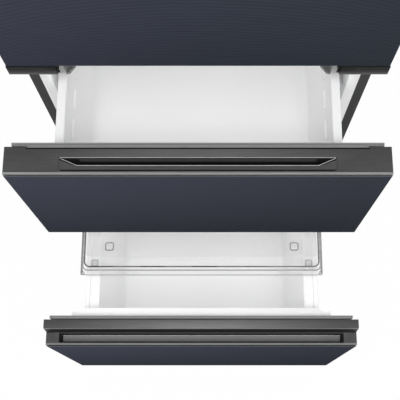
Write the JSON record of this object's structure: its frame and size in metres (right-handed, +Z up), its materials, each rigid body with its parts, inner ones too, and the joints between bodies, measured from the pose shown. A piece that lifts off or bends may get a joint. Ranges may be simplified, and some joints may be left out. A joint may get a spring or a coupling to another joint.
{
  "type": "fridge freezer",
  "caption": "Tall fridge freezer with a hinged upper door over full-width pull-out freezer drawers, shown with the drawers open and a clear sliding tray on the lower bin.",
  "frame": {"origin": "centre of the rest-pose bounding box, at floor level", "axes": "+Z up, the front faces -Y and +X is to the right of someone facing the front"},
  "size_m": [0.65, 1.119, 1.828],
  "materials": {
    "front_paint": "fine brushed navy film",
    "side_paint": "satin",
    "brushed_dark": "brushed lengthwise",
    "black_steel": "satin black",
    "strip_steel": "satin",
    "zinc_steel": "zinc plated",
    "liner_white": "smooth moulded",
    "bin_white": "smooth moulded",
    "foamed_liner": "white moulded skin over foam",
    "foam": "rigid foam",
    "seal_rubber": "soft grey",
    "dark_plastic": "fine grain",
    "grey_plastic": "smooth",
    "smoked_plastic": "smoked clear",
    "clear_plastic": "clear",
    "shelf_glass": "toughened",
    "compressor_black": "gloss black",
    "fin_aluminium": "plain"
  },
  "bodies": {
    "cabinet": {"outer_shell": "side_paint", "back_panel": "zinc_steel", "base_pan": "zinc_steel", "insulation": "foam", "upper_liner": "liner_white", "middle_liner": "liner_white", "lower_liner": "liner_white", "front_frame": "strip_steel", "plinth_grille": "dark_plastic", "levelling_feet": "dark_plastic", "roller_brackets": "zinc_steel", "compressor": "compressor_black", "drip_tray": "grey_plastic", "machine_cover": "zinc_steel", "mains_inlet": "dark_plastic", "evaporator": "fin_aluminium", "fan_motor": "compressor_black", "freezer_duct_cover": "liner_white", "air_duct_cover": "liner_white", "light_lens": "clear_plastic", "shelf_1": "shelf_glass", "shelf_2": "shelf_glass", "shelf_3": "shelf_glass", "top_hinge": "zinc_steel", "top_hinge_cover": "dark_plastic", "middle_hinge": "black_steel", "hinge_cover_left": "smoked_plastic", "hinge_cover_right": "smoked_plastic", "upper_slides_fixed": "zinc_steel", "lower_slides_fixed": "zinc_steel", "screws": "zinc_steel"},
    "fan": {"fan_wheel": "grey_plastic"},
    "roller_left": {"rear_roller_left": "dark_plastic"},
    "roller_right": {"rear_roller_right": "dark_plastic"},
    "door": {"door_skin": "front_paint", "door_top_cap": "dark_plastic", "door_bottom_cap": "dark_plastic", "door_liner": "foamed_liner", "door_seal": "seal_rubber", "door_bin_1": "clear_plastic", "door_bin_2": "clear_plastic", "door_bin_3": "clear_plastic"},
    "upper_drawer": {"upper_drawer_skin": "front_paint", "upper_drawer_cap": "brushed_dark", "upper_drawer_grip": "dark_plastic", "upper_drawer_liner": "foamed_liner", "upper_drawer_seal": "seal_rubber", "upper_bin": "bin_white", "upper_slides_inner": "zinc_steel"},
    "upper_slides": {"upper_slides_middle": "zinc_steel"},
    "lower_drawer": {"lower_drawer_skin": "front_paint", "lower_drawer_cap": "brushed_dark", "lower_drawer_grip": "dark_plastic", "lower_drawer_liner": "foamed_liner", "lower_drawer_seal": "seal_rubber", "lower_bin": "bin_white", "lower_slides_inner": "zinc_steel"},
    "lower_slides": {"lower_slides_middle": "zinc_steel"},
    "tray": {"tray": "clear_plastic", "tray_glides": "clear_plastic"}
  },
  "joints": [
    {"name": "door_hinge", "type": "hinge", "parent": "cabinet", "child": "door", "pos_m": [0.311, -0.1125, 1.39275], "axis": [0, 0, 1], "range_deg": [0, 115]},
    {"name": "upper_drawer_slide", "type": "slide", "parent": "cabinet", "child": "upper_drawer", "axis": [0, -1, 0], "range_m": [-0.1845, 0.2555]},
    {"name": "upper_slides_slide", "type": "slide", "parent": "cabinet", "child": "upper_slides", "axis": [0, -1, 0], "range_m": [-0.09225, 0.12775]},
    {"name": "lower_drawer_slide", "type": "slide", "parent": "cabinet", "child": "lower_drawer", "axis": [0, -1, 0], "range_m": [-0.419, 0.021]},
    {"name": "lower_slides_slide", "type": "slide", "parent": "cabinet", "child": "lower_slides", "axis": [0, -1, 0], "range_m": [-0.2095, 0.0105]},
    {"name": "tray_slide", "type": "slide", "parent": "lower_drawer", "child": "tray", "axis": [0, 1, 0], "range_m": [-0.045, 0.12]},
    {"name": "fan_spin", "type": "hinge", "parent": "cabinet", "child": "fan", "pos_m": [0, 0.4395, 0.868], "axis": [0, 1, 0], "continuous": true},
    {"name": "roller_left_spin", "type": "hinge", "parent": "cabinet", "child": "roller_left", "pos_m": [-0.28, 0.48583, 0.012], "axis": [1, 0, 0], "continuous": true},
    {"name": "roller_right_spin", "type": "hinge", "parent": "cabinet", "child": "roller_right", "pos_m": [0.28, 0.48583, 0.012], "axis": [1, 0, 0], "continuous": true}
  ],
  "couplings": [
    {"joint": "upper_slides_slide", "follows": "upper_drawer_slide", "ratio": 0.5},
    {"joint": "lower_slides_slide", "follows": "lower_drawer_slide", "ratio": 0.5}
  ]
}
